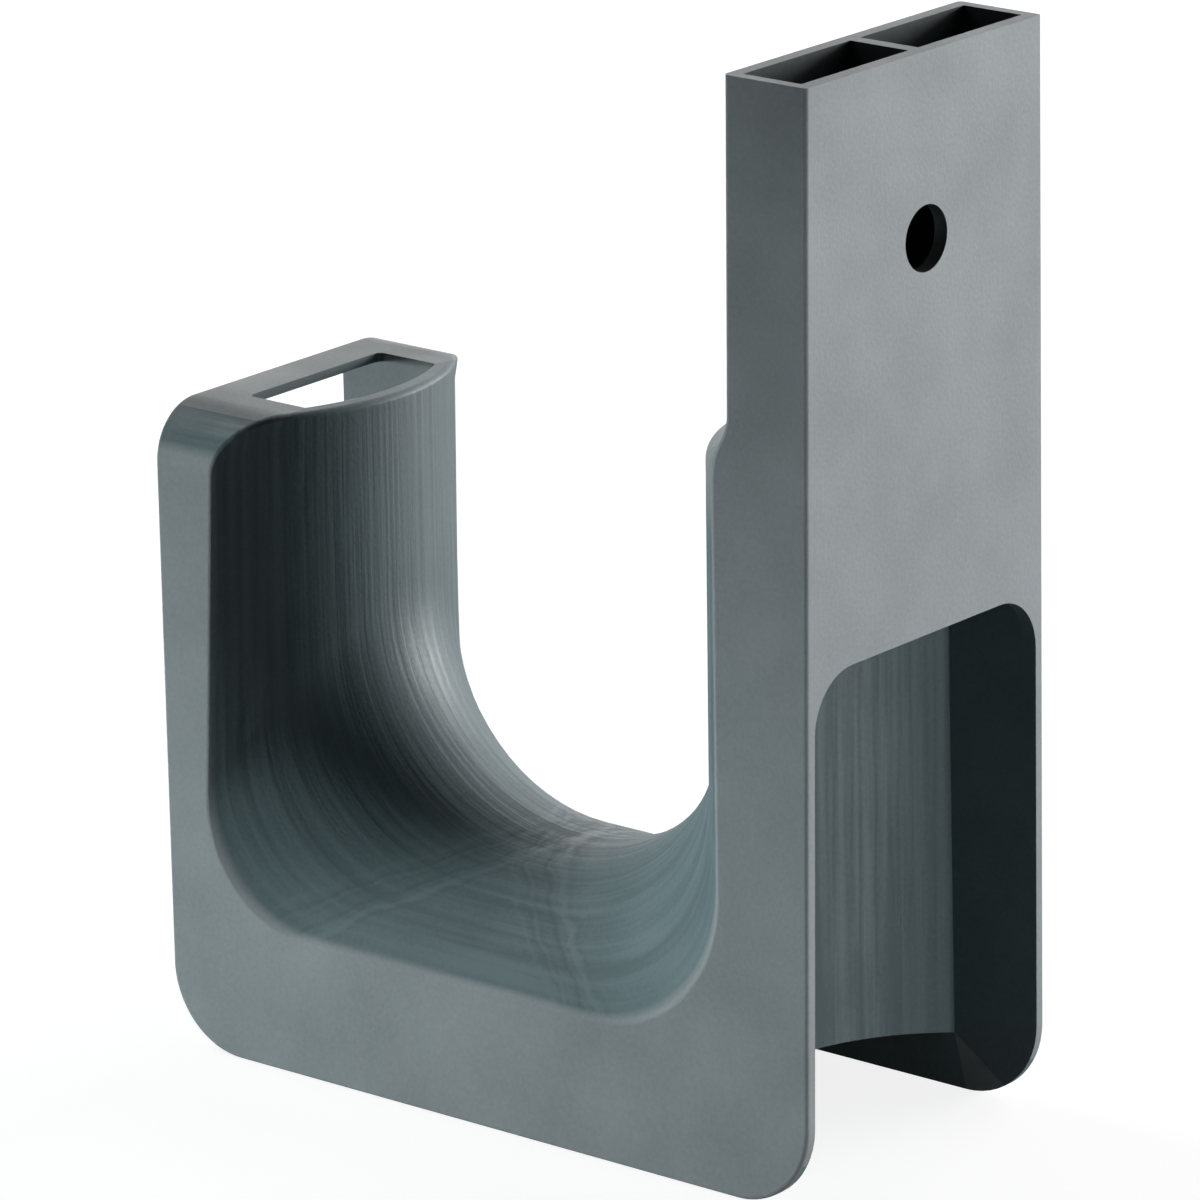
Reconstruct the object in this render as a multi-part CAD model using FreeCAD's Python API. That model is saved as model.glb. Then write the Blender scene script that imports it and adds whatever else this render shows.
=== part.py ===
import FreeCAD, Part
import math
import os

# J hook that carries a bundle of data cables, moulded in one piece.
# Units are mm. The origin is the middle of the screw hole on the wall face.
# +Z is up, the wall is on the +Y side, and the hook reaches out towards -Y.

os.makedirs("parts", exist_ok=True)
V = FreeCAD.Vector

# Overall size
width_low = 41.0            # across the side faces at the bottom edge
width_taper = 1.9           # the width is this much less at the top of the post
top_above_hole = 19.3
bottom_below_hole = 99.1
tip_below_hole = 27.85      # top of the tip
reach = 87.5                # wall face to the outer face of the tip, at its top
tip_taper = 1.0             # the reach is this much less at the bottom
bottom_corner = 9.3
tip_shoulder = 6.2
edge_round = 0.4
rim_round = 0.6             # along the throat's rim and the front of the post

# Post and screw hole
post_depth = 10.4
screw = 6.35                # shank of the quarter-inch screw
screw_clearance = 0.65
screw_hole = screw + screw_clearance
cell_floor_below_hole = 17.0
partition = 1.8

# Wall thicknesses
side_wall = 1.3
back_wall = 1.6
post_front_wall = 1.5
post_web = 1.3              # curved wall behind the window
rib = 1.6
rib_relief = 1.0            # the rib stands this far clear of the screw hole
saddle_wall = 2.0
outer_wall = 1.6
roof = 1.0
cheek = 1.3                 # walls beside the tie slot

# Throat that holds the cables
bend_radius = 25.4          # crown of the saddle across the width
saddle_step = 0.95          # front of the post to the throat, at the side faces
tip_depth = 7.4             # throat to the outer face of the tip, at the side faces
tip_lean = 1.65             # degrees, the throat widens downwards on the tip's side
bar_height = 15.3           # bottom edge to the throat, at the side faces
floor_rise = 10.95          # the floor stands this much higher at mid-width
side_corner_tip = 13.0      # corners of the throat at the side faces
side_corner_post = 16.5
ridge_flat = 0.7            # floor left between the large corners at mid-width
ridge_corner_extra = 1.0    # the corner by the post is this much larger than the tip's
shoulder_below_hole = 15.5  # top of the shoulder that leads into the saddle
shoulder_height = 6.8

# Openings
window_below_hole = 41.75
window_corner = 6.2
web_above_bottom = 6.1      # lower edge of the wall behind the window
tie_half_width = 10.7       # of the hole in the roof of the tip and of the slot under it
tie_hole_inset = 5.3        # outer face of the tip to the hole in its roof
tie_hole_corner = 0.8
tie_slot_height = 9.0
tie_slot_corner = 2.5

reach_low = reach - tip_taper
throat_rear = post_depth + saddle_step
throat_front = reach - tip_depth
taper = width_taper / (top_above_hole + bottom_below_hole)
crown_half_width = (width_low - taper * bar_height) / 2
half_chord = math.sqrt(bend_radius ** 2 - crown_half_width ** 2)
crown = bend_radius - half_chord
ridge_corners = throat_front - throat_rear - 2 * crown - ridge_flat
ridge_corner_tip = (ridge_corners - ridge_corner_extra) / 2
ridge_corner_post = ridge_corner_tip + ridge_corner_extra
past = 1.0                  # how far cutting bodies stand clear of the part
aside = 0.2                 # the lofts end this far outside the side faces
stations = 5                # outlines of a loft on each side of mid-width
near = 0.1                  # edges are picked by a place within this distance


def half_width(z):
    """Half of the width across the side faces at height z."""
    return (width_low - taper * (z + bottom_below_hole)) / 2


def between_sides(inset, back, front, low, high):
    """Block between the side faces, set in from both, from depth back to front."""
    wide = half_width(low) - inset
    narrow = half_width(high) - inset
    corners = [V(-wide, -front, low), V(wide, -front, low)]
    corners += [V(narrow, -front, high), V(-narrow, -front, high)]
    face = Part.Face(Part.makePolygon(corners + corners[:1]))
    return face.extrude(V(0, front - back, 0))


def across(points):
    """Solid with the given side outline of depth and height, across the whole width."""
    side = width_low / 2 + past
    corners = [V(-side, -depth, height) for depth, height in points]
    face = Part.Face(Part.makePolygon(corners + corners[:1]))
    return face.extrude(V(2 * side, 0, 0))


def edges_along(solid, direction, low, high):
    """Straight edges along one direction whose middles lie within two corners."""
    found = []
    for edge in solid.Edges:
        if not isinstance(edge.Curve, Part.Line):
            continue
        if abs(edge.tangentAt(edge.FirstParameter).dot(direction)) < 0.99:
            continue
        middle = edge.CenterOfMass
        inside = low.x <= middle.x <= high.x and low.y <= middle.y <= high.y
        if inside and low.z <= middle.z <= high.z:
            found.append(edge)
    return found


def outline_edges(solid):
    """Edges of the filled shape along its back, its underside and the tip."""
    found = []
    for edge in solid.Edges:
        middle = edge.valueAt((edge.FirstParameter + edge.LastParameter) / 2)
        on_side = abs(abs(middle.x) - half_width(middle.z)) < near
        at_back = middle.y > -near
        at_bottom = middle.z < -bottom_below_hole + bottom_corner
        at_front = middle.y < -reach_low + near
        round_tip = middle.y < -reach + near and middle.z > -tip_below_hole - tip_shoulder
        if on_side and (at_back or at_bottom or at_front) or round_tip:
            found.append(edge)
    return found


def rim_edges(solid):
    """Edges where the throat meets the side faces and the top of the tip."""
    found = []
    for edge in solid.Edges:
        middle = edge.valueAt((edge.FirstParameter + edge.LastParameter) / 2)
        deep = post_depth - near < -middle.y < reach - tip_depth / 2
        low = -bottom_below_hole + bar_height / 2
        on_side = abs(middle.x) > crown_half_width / 2 and low < middle.z < top_above_hole - past
        on_top = abs(middle.z + tip_below_hole) < near
        faces = solid.ancestorsOfType(edge, Part.Face)
        on_throat = any(isinstance(face.Surface, Part.BSplineSurface) for face in faces)
        if deep and on_throat and (on_side or on_top):
            found.append(edge)
    return found


def crown_height(x):
    """How far the crown stands into the throat at distance x from mid-width."""
    return math.sqrt(bend_radius ** 2 - x ** 2) - half_chord


def throat_edges(x, grow):
    """Tip side, floor and post side of the throat at x, grown outwards by grow."""
    rise = crown_height(x)
    share = rise / crown
    lean = math.radians(tip_lean) * (1 - share)
    corner_tip = side_corner_tip + (ridge_corner_tip - side_corner_tip) * share + grow
    corner_post = side_corner_post + (ridge_corner_post - side_corner_post) * share + grow
    floor = -bottom_below_hole + bar_height + floor_rise * share - grow
    rear = throat_rear + rise - grow
    high = top_above_hole + past
    front_top = throat_front - rise + grow / math.cos(lean)
    front_top -= (high + tip_below_hole) * math.tan(lean)
    tip_z = floor + corner_tip
    tip_centre = front_top + (high - tip_z) * math.tan(lean) - corner_tip / math.cos(lean)
    post_z = floor + corner_post
    post_centre = rear + corner_post
    turn = math.pi / 4 + lean / 2
    eighth = corner_post * math.sqrt(0.5)
    start = V(x, -front_top, high)
    tip_end = V(x, -tip_centre - corner_tip * math.cos(lean), tip_z + corner_tip * math.sin(lean))
    tip_middle = V(x, -tip_centre - corner_tip * math.sin(turn), tip_z - corner_tip * math.cos(turn))
    floor_tip = V(x, -tip_centre, floor)
    floor_post = V(x, -post_centre, floor)
    post_middle = V(x, -post_centre + eighth, post_z - eighth)
    post_end = V(x, -rear, post_z)
    edges = [Part.makeLine(start, tip_end)]
    edges.append(Part.Arc(tip_end, tip_middle, floor_tip).toShape())
    edges.append(Part.makeLine(floor_tip, floor_post))
    edges.append(Part.Arc(floor_post, post_middle, post_end).toShape())
    return edges, start, post_end, rear


def throat_outline(x):
    """Closed outline of the throat at x, with the shoulder that starts the saddle."""
    edges, start, post_end, rear = throat_edges(x, 0)
    high = -shoulder_below_hole
    low = high - shoulder_height
    half_way = (high + low) / 2
    shoulder = Part.BezierCurve()
    poles = [V(x, -rear, low), V(x, -rear, half_way)]
    poles += [V(x, -post_depth, half_way), V(x, -post_depth, high)]
    shoulder.setPoles(poles)
    top = V(x, -post_depth, start.z)
    edges.append(Part.makeLine(post_end, V(x, -rear, low)))
    edges.append(shoulder.toShape())
    edges.append(Part.makeLine(V(x, -post_depth, high), top))
    edges.append(Part.makeLine(top, start))
    return Part.Wire(edges)


def underside_outline(x):
    """Closed outline of the throat at x with the wall of the saddle around it."""
    edges, start, post_end, rear = throat_edges(x, saddle_wall)
    top = V(x, -rear, start.z)
    edges.append(Part.makeLine(post_end, top))
    edges.append(Part.makeLine(top, start))
    return Part.Wire(edges)


def across_stations(outline):
    """Smooth solid through an outline at each station, closer together near the sides."""
    side = width_low / 2 + aside
    steps = range(-stations, stations + 1)
    places = [side * math.sin(math.pi / 2 * step / stations) for step in steps]
    return Part.makeLoft([outline(x) for x in places], True, False)


def web_cylinder(radius):
    """Upright cylinder whose near side is a face of the curved wall of the post."""
    centre = V(0, half_chord - throat_rear, -bottom_below_hole - past)
    return Part.makeCylinder(radius, bottom_below_hole + top_above_hole + 2 * past, centre)


def outer_body():
    """Filled outside shape, with its rounded corners and edges."""
    web_block = throat_rear + crown + past
    outline = [(0, top_above_hole), (web_block, top_above_hole)]
    outline += [(web_block, -tip_below_hole), (reach, -tip_below_hole)]
    outline += [(reach_low, -bottom_below_hole), (0, -bottom_below_hole)]
    solid = across(outline)
    far = width_low
    below = -bottom_below_hole - past
    lowest = edges_along(solid, V(1, 0, 0), V(-far, -reach, below), V(far, past, below + 2 * past))
    solid = solid.makeFillet(bottom_corner, lowest)
    solid = solid.common(between_sides(0, -past, reach + past, below, top_above_hole))
    tip = -tip_below_hole
    shoulders = edges_along(solid, V(0, 1, 0), V(-far, -reach, tip - near), V(far, -past, tip + near))
    shoulders = [edge for edge in shoulders if abs(edge.CenterOfMass.x) > far / 4]
    solid = solid.makeFillet(tip_shoulder, shoulders)
    return solid.makeFillet(edge_round, outline_edges(solid))


def front_hollow():
    """Space under the saddle and behind the wall of the tip."""
    ceiling = -tip_below_hole - roof
    floor = -bottom_below_hole + outer_wall
    outline = [(reach - outer_wall, ceiling), (reach_low - outer_wall, floor)]
    outline += [(throat_rear, floor), (throat_rear, ceiling)]
    solid = across(outline)
    corner = bottom_corner - outer_wall
    far = width_low
    lowest = edges_along(solid, V(1, 0, 0), V(-far, -reach, floor - near), V(far, -reach / 2, floor + near))
    solid = solid.makeFillet(corner, lowest)
    sides = between_sides(side_wall, 0, reach, floor - past, ceiling)
    highest = edges_along(sides, V(0, 1, 0), V(-far, -reach, ceiling - near), V(far, 0, ceiling + near))
    solid = solid.common(sides.makeFillet(tip_shoulder - side_wall, highest))
    solid = solid.cut(across_stations(underside_outline))
    return solid.cut(web_cylinder(bend_radius))


def cheeks():
    """Two upright walls in the hollow of the tip, one at each end of the tie slot."""
    high = -tip_below_hole - roof
    low = high - tie_slot_height
    inner = reach - outer_wall / 2
    size = V(cheek, inner - throat_front + crown, tie_slot_height + roof / 2)
    right = Part.makeBox(size.x, size.y, size.z, V(tie_half_width, -inner, low))
    left = Part.makeBox(size.x, size.y, size.z, V(-tie_half_width - cheek, -inner, low))
    return right.fuse(left).cut(across_stations(throat_outline))


def rear_hollow():
    """Space between the back wall and the curved wall of the post."""
    flat = -cell_floor_below_hole - partition
    slope_start = post_depth - post_front_wall
    deepest = throat_rear + crown + past
    slope_end = -shoulder_below_hole - shoulder_height - partition
    low = -bottom_below_hole - past
    outline = [(back_wall, flat), (slope_start, flat), (deepest, slope_end)]
    outline += [(deepest, low), (back_wall, low)]
    solid = across(outline).common(web_cylinder(bend_radius - post_web))
    return solid.common(between_sides(side_wall, 0, deepest, low, flat + past))


def bottom_opening():
    """Open underside, which also ends the curved wall of the post."""
    front = reach_low - bottom_corner
    low = -bottom_below_hole - past
    return between_sides(side_wall, back_wall - past, front, low, -bottom_below_hole + web_above_bottom)


def window():
    """Opening in the lower part of the back wall."""
    low = -bottom_below_hole - past
    top = -window_below_hole
    far = width_low
    solid = between_sides(side_wall, -past, back_wall + past, low, top)
    corners = edges_along(solid, V(0, 1, 0), V(-far, -post_depth, top - near), V(far, past, top + near))
    return solid.makeFillet(window_corner, corners)


def cells():
    """Two deep cells in the top of the post, with a rib between them."""
    low = -cell_floor_below_hole
    high = top_above_hole + past
    both = between_sides(side_wall, back_wall, post_depth - post_front_wall, low, high)
    between = Part.makeBox(rib, post_depth, high - low, V(-rib / 2, -post_depth, low))
    relief = Part.makeCylinder(screw_hole / 2 + rib_relief, post_depth, V(), V(0, -1, 0))
    return both.cut(between.cut(relief))


def screw_bore():
    """Clearance hole for the screw, straight through the post."""
    return Part.makeCylinder(screw_hole / 2, post_depth + 2 * past, V(0, past, 0), V(0, -1, 0))


def tie_hole():
    """Hole in the roof of the tip that follows the wall of the saddle."""
    low = -tip_below_hole - roof - past
    outermost = reach - tie_hole_inset
    depth = outermost - throat_front + crown + saddle_wall
    high = low + roof + 2 * past
    far = width_low
    solid = Part.makeBox(2 * tie_half_width, depth, high - low, V(-tie_half_width, -outermost, low))
    outer = edges_along(solid, V(0, 0, 1), V(-far, -outermost - near, low), V(far, -outermost + near, high))
    solid = solid.makeFillet(tie_hole_corner, outer)
    return solid.cut(across_stations(underside_outline))


def tie_slot():
    """Slot in the outer face of the tip, just under the roof."""
    low = -tip_below_hole - roof - tie_slot_height
    depth = outer_wall + 2 * past
    far = width_low
    solid = Part.makeBox(2 * tie_half_width, depth, tie_slot_height, V(-tie_half_width, -reach - past, low))
    ends = edges_along(solid, V(0, 1, 0), V(-far, -reach - depth, low - near), V(far, 0, low + near))
    return solid.makeFillet(tie_slot_corner, ends)


def hook_body():
    """The whole moulding."""
    solid = outer_body().cut(across_stations(throat_outline))
    solid = solid.makeFillet(rim_round, rim_edges(solid))
    for opening in (front_hollow, rear_hollow, bottom_opening, window):
        solid = solid.cut(opening())
    solid = solid.fuse(cheeks())
    for opening in (cells, screw_bore, tie_hole, tie_slot):
        solid = solid.cut(opening())
    return solid


shape = hook_body().removeSplitter()
solids = shape.Solids
print("solids", len(solids), "valid", shape.isValid(), "volume", round(shape.Volume / 1000, 2), "cm3")
shape.exportStep("parts/hook_body.step")
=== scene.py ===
import bpy
import math
from mathutils import Matrix, Vector


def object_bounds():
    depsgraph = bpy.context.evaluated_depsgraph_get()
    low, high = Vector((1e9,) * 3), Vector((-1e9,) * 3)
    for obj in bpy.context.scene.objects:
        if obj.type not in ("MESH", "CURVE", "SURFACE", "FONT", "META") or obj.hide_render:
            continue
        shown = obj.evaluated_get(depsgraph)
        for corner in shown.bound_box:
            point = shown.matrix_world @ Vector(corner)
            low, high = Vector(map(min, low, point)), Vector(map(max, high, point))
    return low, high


# J hook for data cables, dressed for a plain studio picture. Units are metres.
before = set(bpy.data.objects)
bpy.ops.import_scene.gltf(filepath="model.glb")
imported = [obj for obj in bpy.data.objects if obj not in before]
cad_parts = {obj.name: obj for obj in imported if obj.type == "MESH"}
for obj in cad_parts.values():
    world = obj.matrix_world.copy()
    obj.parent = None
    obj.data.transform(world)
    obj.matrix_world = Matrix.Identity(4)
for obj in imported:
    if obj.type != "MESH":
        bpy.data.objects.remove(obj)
cad_low, cad_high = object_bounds()
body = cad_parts["hook_body"]
middle = (cad_low + cad_high) / 2

# Camera
aim = Vector((0, -0.035, -0.020))
azimuth = math.radians(129.27)
elevation = math.radians(17.30)
roll = math.radians(-0.80)
distance = 0.8563
aside = Vector((-0.00587, -0.02345))   # sideways and upwards shift of the camera
sensor = 0.036
lens = 0.24765
clip_start = 0.01
clip_end = 50

# Studio
floor_size = 6.0
floor_pale = 0.30          # how much light the floor gives back
floor_glow = 0.85          # added where the floor is seen, so that it looks white
floor_shine = 0.15         # share of that glow in reflections
floor_roughness = 0.9
ambient = 0.02
backdrop = Vector((-0.77, -0.63, 0))   # the side that the white backdrop stands on
backdrop_start = -0.2      # how far round towards that side the white fades in
backdrop_full = 0.5

# Colours and finish of the moulded plastic, and the painted shade on its inner faces
dark_shade = (0.160, 0.181, 0.190, 1)
light_shade = (0.212, 0.236, 0.247, 1)
inner_painted_shade = (0.48, 0.60, 0.615, 1)  # painted shade: inner faces are darkened and turned more blue-green than the outside
cell_painted_shade = (0.35, 0.35, 0.35, 1)    # painted shade: the post's deep cells and screw hole are darker still
polish_low = 0.50
polish_high = 0.65
contrast_low = 0.3         # range of the pattern that the shades and the polish are spread over
contrast_high = 0.7
patch_share = 0.6          # shares of the patches, the grain and the lines in the pattern
grain_share = 0.4
mark_share = 1.2

# Grain, patches and lines of the moulded plastic
grain_size = 0.00045
patch_size = 0.012
line_pitch = 0.0008        # between the fine lines that run along the throat
line_length = 0.035
ripple_pitch = 0.0016      # between the lines across the throat's corners
ripple_reach = 0.006
ripple_strength = 1.8      # set against the lines along the throat
wave_length = 0.004
wave_reach = 0.003
relief = 0.00008           # height of the lines
grain_relief = 0.25        # height of the grain set against the lines

# Places on the CAD part that tell its faces apart
side = 0.0204
lean = 0.0080              # inward lean of the flanks for each unit of height
rim_start = 0.0199         # the rim's rounding, by distance from the middle at the foot
rim_end = 0.0203
tip_front = -0.0860
tip_hole_front = -0.0740
tip_hole_foot = -0.0380
tip_top = -0.0283
hole_radius = 0.0037
wall_start = -0.0010
cell_front = -0.0095
cell_side = 0.0188
post_top = 0.0190
foot = -0.0960
shade_and_lines_fade_start = -0.0290    # up the post, the inner faces' painted shade and mould lines fade out over this stretch
shade_and_lines_fade_end = -0.0230
throat_rear = -0.0113
throat_front = -0.0820
throat_low = -0.0865
throat_high = -0.0220
ridge_rear = -0.0245
ridge_front = -0.0600
web_rear = -0.0040
corner_rear = (0.0459, 0.0180)   # depth of the corner's start at mid-width, less at the side
corner_front = (0.0466, -0.0220)

# How squarely a face looks along an axis
flat = 0.99
mostly = 0.5
partly = 0.2

# Numbers of the mix node's colour sockets, whose names its other sockets have too
mix_first = 6
mix_second = 7
mix_result = 2

sharp_angle = math.radians(30)   # edges that turn by more stay crisp
millimetres = 1000
noise_middle = 0.5


def new_material(name):
    """Empty node material with its node tree and principled shader."""
    material = bpy.data.materials.new(name)
    material.use_nodes = True
    return material, material.node_tree, material.node_tree.nodes["Principled BSDF"]


def place(obj):
    """Links a new object into the scene."""
    bpy.context.scene.collection.objects.link(obj)
    return obj


def make_camera():
    """Camera at the photograph's viewing angle."""
    back = Vector((math.sin(azimuth) * math.cos(elevation),
                   -math.cos(azimuth) * math.cos(elevation),
                   math.sin(elevation)))
    level = Vector((0, 0, 1)).cross(back).normalized()
    upright = back.cross(level)
    right = level * math.cos(roll) + upright * math.sin(roll)
    up = upright * math.cos(roll) - level * math.sin(roll)
    data = bpy.data.cameras.new("camera")
    data.sensor_fit = "HORIZONTAL"
    data.sensor_width = sensor * millimetres
    data.lens = lens * millimetres
    data.clip_start = clip_start
    data.clip_end = clip_end
    camera = place(bpy.data.objects.new("camera", data))
    turn = Matrix((right, up, back)).transposed().to_4x4()
    spot = aim + right * aside.x + up * aside.y + back * distance
    camera.matrix_world = Matrix.Translation(spot) @ turn
    bpy.context.scene.camera = camera


def is_lined(centre, normal):
    """Whether a face belongs to the throat or to the curved wall behind the window."""
    tip = normal.y > partly and throat_front < centre.y < ridge_front and centre.z < tip_top
    in_throat = throat_front < centre.y < throat_rear and throat_low < centre.z < tip_top
    floor = normal.z > partly and in_throat
    post = normal.y < -partly and ridge_rear < centre.y < throat_rear and centre.z < throat_high
    web = normal.y > partly and ridge_rear < centre.y < web_rear and centre.z < throat_high
    return tip or floor or post or web


def is_cell(centre, normal):
    """Whether a face lies inside one of the post's cells or in its screw hole."""
    within = cell_front < centre.y < wall_start and abs(centre.x) < cell_side
    bore = math.hypot(centre.x, centre.z) < hole_radius and abs(normal.y) < mostly
    return bore or throat_high < centre.z < post_top and within


def is_outside(centre, normal):
    """Whether a face is on the outside. The post's front isn't counted: inner_share fades it in."""
    flank = abs(centre.x) > cell_side and abs(normal.x) > flat and centre.x * normal.x > 0
    back = normal.y > mostly and centre.y > wall_start
    front = normal.y < -mostly and centre.y < tip_front
    top = normal.z > mostly and centre.z > tip_top and centre.y < tip_hole_front
    return flank or back or front or top or centre.z < foot or centre.z > post_top


def depth_inside(centre, normal):
    """0 on the outside, which gets no painted shade; 1 on the throat and the underside; 3 on other inner
    walls, which keep their full painted shade at the rim and up the post.
    """
    faces_middle = centre.x * normal.x < 0 and abs(normal.x) > mostly
    tie_hole = faces_middle and centre.y < tip_hole_front and centre.z > tip_hole_foot
    if is_cell(centre, normal):
        return 3
    if is_outside(centre, normal) or tie_hole:
        return 0
    return 3 if faces_middle else 1


def mark_faces():
    """Stores on every face whether it is lined, how far inside it lies, which sets its painted shade and
    mould lines, and whether it is in a cell, which gets darker painted shade.
    """
    faces = body.data.polygons
    for name, test in (("lined", is_lined), ("inner", depth_inside), ("cell", is_cell)):
        marks = body.data.attributes.new(name, "FLOAT", "FACE")
        marks.data.foreach_set("value", [float(test(face.center, face.normal)) for face in faces])


def join(tree, source, target):
    """Links one socket to another."""
    tree.links.new(source, target)


def maths(tree, operation, first, second):
    """Arithmetic of a socket with another socket or a number."""
    node = tree.nodes.new("ShaderNodeMath")
    node.operation = operation
    join(tree, first, node.inputs[0])
    if isinstance(second, (int, float)):
        node.inputs[1].default_value = second
    else:
        join(tree, second, node.inputs[1])
    return node.outputs["Value"]


def spread_over(tree, value, low, high, to_low, to_high):
    """Maps a value from one range to another and stays inside it."""
    node = tree.nodes.new("ShaderNodeMapRange")
    join(tree, value, node.inputs["Value"])
    node.inputs["From Min"].default_value = low
    node.inputs["From Max"].default_value = high
    node.inputs["To Min"].default_value = to_low
    node.inputs["To Max"].default_value = to_high
    return node.outputs["Result"]


def noise(tree, vector, spacing, detail):
    """Noise whose spots have the given spacing along each axis."""
    mapping = tree.nodes.new("ShaderNodeMapping")
    mapping.inputs["Scale"].default_value = [1 / length for length in spacing]
    join(tree, vector, mapping.inputs["Vector"])
    texture = tree.nodes.new("ShaderNodeTexNoise")
    texture.inputs["Scale"].default_value = 1
    texture.inputs["Detail"].default_value = detail
    join(tree, mapping.outputs["Vector"], texture.inputs["Vector"])
    return texture.outputs["Fac"]


def face_mark(tree, name):
    """Value stored on the faces under the given name."""
    node = tree.nodes.new("ShaderNodeAttribute")
    node.attribute_name = name
    return node.outputs["Fac"]


def mix_node(tree, share, blend_type):
    """Node that mixes two colours by a share."""
    node = tree.nodes.new("ShaderNodeMix")
    node.data_type = "RGBA"
    node.blend_type = blend_type
    join(tree, share, node.inputs["Factor"])
    return node


def with_painted_shade(tree, colour, share, shade_colour):
    """Colour darkened by a painted shade colour, by the given share."""
    node = mix_node(tree, share, "MULTIPLY")
    join(tree, colour, node.inputs[mix_first])
    node.inputs[mix_second].default_value = shade_colour
    return node.outputs[mix_result]


def ripples(tree, x, y, waves, corner):
    """Fine wavy lines across the throat beside the place where its floor turns up."""
    depth, lag = corner
    along = maths(tree, "DIVIDE", x, side)
    along = maths(tree, "MULTIPLY", along, along)
    offset = maths(tree, "MULTIPLY", along, -lag)
    offset = maths(tree, "ADD", offset, maths(tree, "ADD", y, depth))
    offset = maths(tree, "ADD", offset, waves)
    vector = tree.nodes.new("ShaderNodeCombineXYZ")
    join(tree, offset, vector.inputs["X"])
    lines = noise(tree, vector.outputs["Vector"], (ripple_pitch, 1, 1), detail=1)
    lines = maths(tree, "SUBTRACT", lines, noise_middle)
    away = maths(tree, "ABSOLUTE", offset, 0)
    return maths(tree, "MULTIPLY", lines, spread_over(tree, away, 0, ripple_reach, 1, 0))


def mould_marks(tree, spot, x, y):
    """Fine lines along the throat with ripples across it, above and below zero."""
    lines = noise(tree, spot, (line_pitch, line_length, line_length), detail=2)
    lines = maths(tree, "SUBTRACT", lines, noise_middle)
    waves = maths(tree, "MULTIPLY", noise(tree, spot, [wave_length] * 3, detail=1), wave_reach)
    rear = ripples(tree, x, y, waves, corner_rear)
    front = ripples(tree, x, y, waves, corner_front)
    across = maths(tree, "MULTIPLY", maths(tree, "ADD", rear, front), ripple_strength)
    return maths(tree, "MULTIPLY", maths(tree, "ADD", lines, across), face_mark(tree, "lined"))


def inner_share(tree, x, z):
    """Share of painted shade and mould lines: 1 on inner faces and 0 outside, with a soft change over the
    rim and up the post's front.
    """
    height = maths(tree, "SUBTRACT", z, cad_low.z)
    outwards = maths(tree, "ADD", maths(tree, "ABSOLUTE", x, 0), maths(tree, "MULTIPLY", height, lean))
    rim = spread_over(tree, outwards, rim_start, rim_end, 0, 1)
    upper = spread_over(tree, z, shade_and_lines_fade_start, shade_and_lines_fade_end, 0, 1)
    share = maths(tree, "SUBTRACT", maths(tree, "SUBTRACT", face_mark(tree, "inner"), rim), upper)
    return spread_over(tree, share, 0, 1, 0, 1)


def plastic():
    """Satin slate-grey moulded plastic with a fine grain, the mould's lines, and painted shade on its
    inner faces and cells.
    """
    material, tree, shader = new_material("moulded_nylon")
    spot = tree.nodes.new("ShaderNodeTexCoord").outputs["Object"]
    split = tree.nodes.new("ShaderNodeSeparateXYZ")
    join(tree, spot, split.inputs["Vector"])
    x, y, z = split.outputs["X"], split.outputs["Y"], split.outputs["Z"]
    grain = noise(tree, spot, [grain_size] * 3, detail=3)
    patches = noise(tree, spot, [patch_size] * 3, detail=2)
    inner = inner_share(tree, x, z)
    marks = maths(tree, "MULTIPLY", mould_marks(tree, spot, x, y), inner)

    patches = maths(tree, "MULTIPLY", patches, patch_share)
    pattern = maths(tree, "ADD", patches, maths(tree, "MULTIPLY", grain, grain_share))
    pattern = maths(tree, "ADD", pattern, maths(tree, "MULTIPLY", marks, mark_share))
    shade = mix_node(tree, spread_over(tree, pattern, contrast_low, contrast_high, 0, 1), "MIX")
    shade.inputs[mix_first].default_value = dark_shade
    shade.inputs[mix_second].default_value = light_shade
    # painted shade: the inner faces darker and more blue-green than the outside
    colour = with_painted_shade(tree, shade.outputs[mix_result], inner, inner_painted_shade)
    # painted shade: the post's cells and screw hole darker still
    colour = with_painted_shade(tree, colour, face_mark(tree, "cell"), cell_painted_shade)
    join(tree, colour, shader.inputs["Base Color"])
    roughness = spread_over(tree, pattern, contrast_low, contrast_high, polish_high, polish_low)
    join(tree, roughness, shader.inputs["Roughness"])

    bump = tree.nodes.new("ShaderNodeBump")
    bump.inputs["Strength"].default_value = 1
    bump.inputs["Distance"].default_value = relief
    height = maths(tree, "ADD", maths(tree, "MULTIPLY", grain, grain_relief), marks)
    join(tree, height, bump.inputs["Height"])
    join(tree, bump.outputs["Normal"], shader.inputs["Normal"])
    return material


def seen(tree, reflected):
    """Share of white for the camera, through glass, and in reflections by the given share."""
    path = tree.nodes.new("ShaderNodeLightPath")
    glossy = maths(tree, "MULTIPLY", path.outputs["Is Glossy Ray"], reflected)
    direct = maths(tree, "MAXIMUM", path.outputs["Is Camera Ray"], path.outputs["Is Transmission Ray"])
    return maths(tree, "MAXIMUM", direct, glossy)


def make_floor():
    """Plain pale floor, white to the camera, with the object's shadow on it."""
    half = floor_size / 2
    mesh = bpy.data.meshes.new("floor")
    corners = [(-half, -half, 0), (half, -half, 0), (half, half, 0), (-half, half, 0)]
    mesh.from_pydata(corners, [], [(0, 1, 2, 3)])
    floor = place(bpy.data.objects.new("floor", mesh))
    floor.location.z = cad_low.z
    material, tree, shader = new_material("floor")
    shader.inputs["Base Color"].default_value = (floor_pale, floor_pale, floor_pale, 1)
    shader.inputs["Roughness"].default_value = floor_roughness
    shader.inputs["Specular IOR Level"].default_value = 0
    shader.inputs["Emission Color"].default_value = (1, 1, 1, 1)
    glow = maths(tree, "MULTIPLY", seen(tree, floor_shine), floor_glow)
    join(tree, glow, shader.inputs["Emission Strength"])
    mesh.materials.append(material)


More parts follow.
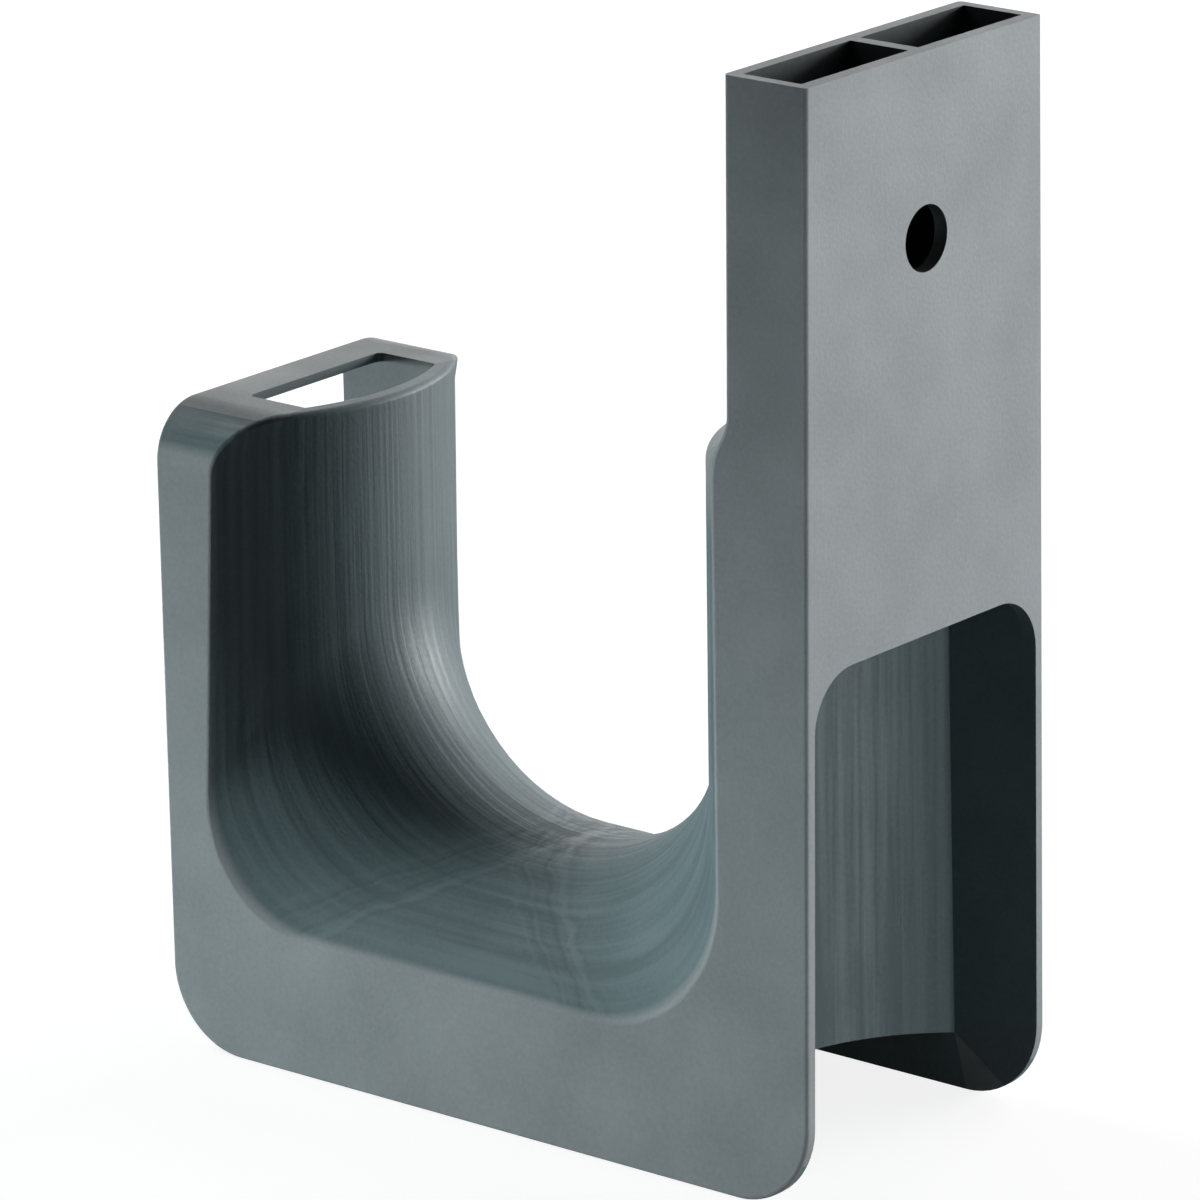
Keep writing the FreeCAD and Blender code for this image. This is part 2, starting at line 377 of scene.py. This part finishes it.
def make_world():
    """White surroundings, which light the object only a little."""
    world = bpy.data.worlds.new("studio")
    bpy.context.scene.world = world
    world.use_nodes = True
    tree = world.node_tree
    background = tree.nodes["Background"]
    background.inputs["Color"].default_value = (1, 1, 1, 1)
    direction = tree.nodes.new("ShaderNodeVectorMath")
    direction.operation = "DOT_PRODUCT"
    direction.inputs[1].default_value = backdrop
    join(tree, tree.nodes.new("ShaderNodeTexCoord").outputs["Generated"], direction.inputs[0])
    behind = spread_over(tree, direction.outputs["Value"], backdrop_start, backdrop_full, 0, 1)
    join(tree, spread_over(tree, seen(tree, behind), 0, 1, ambient, 1), background.inputs["Strength"])


def lamp(name, direction, away, size, strength, target=middle, spread=180):
    """Square soft lamp that faces the target from a direction. Strength is in watts, spread in degrees."""
    data = bpy.data.lights.new(name, "AREA")
    data.shape = "SQUARE"
    data.size = size
    data.energy = strength
    data.spread = math.radians(spread)
    obj = place(bpy.data.objects.new(name, data))
    direction = Vector(direction).normalized()
    obj.location = target + direction * away
    obj.rotation_mode = "QUATERNION"
    obj.rotation_quaternion = direction.to_track_quat("Z", "Y")
    return obj


def make_lamps():
    """Key from the far side, fills from the wall's side, above and behind, and one low on the left."""
    window_foot = Vector((0, 0, -0.08))
    near_foot = Vector((0.02, -0.03, -0.103))
    lamp("key", (-0.88, 0.47, 0.03), away=1.2, size=0.6, strength=24)
    lamp("wall_side", (-0.03, 1, 0), away=0.8, size=0.06, strength=0.95, target=window_foot, spread=90)
    lamp("far_high", (-0.85, 0.10, 0.55), away=1.2, size=0.7, strength=4)
    lamp("high", (0.08, -0.62, 0.78), away=1.2, size=0.4, strength=3.5)
    lamp("back", (-0.74, -0.60, 0.30), away=1.2, size=0.6, strength=2)
    low_left = lamp("low_left", (0.60, -0.80, 0.03), away=0.42, size=0.10, strength=0.228,
                    target=near_foot, spread=40)
    low_left.data.color = (0.93, 1, 1)
    low_left.visible_glossy = False   # it would draw a bright line along the rim


make_camera()
make_floor()
make_world()
make_lamps()

mark_faces()
body.data.materials.clear()
body.data.materials.append(plastic())
for polygon in body.data.polygons:
    polygon.use_smooth = True
body.data.set_sharp_from_angle(angle=sharp_angle)

bpy.context.scene.view_settings.view_transform = "Standard"
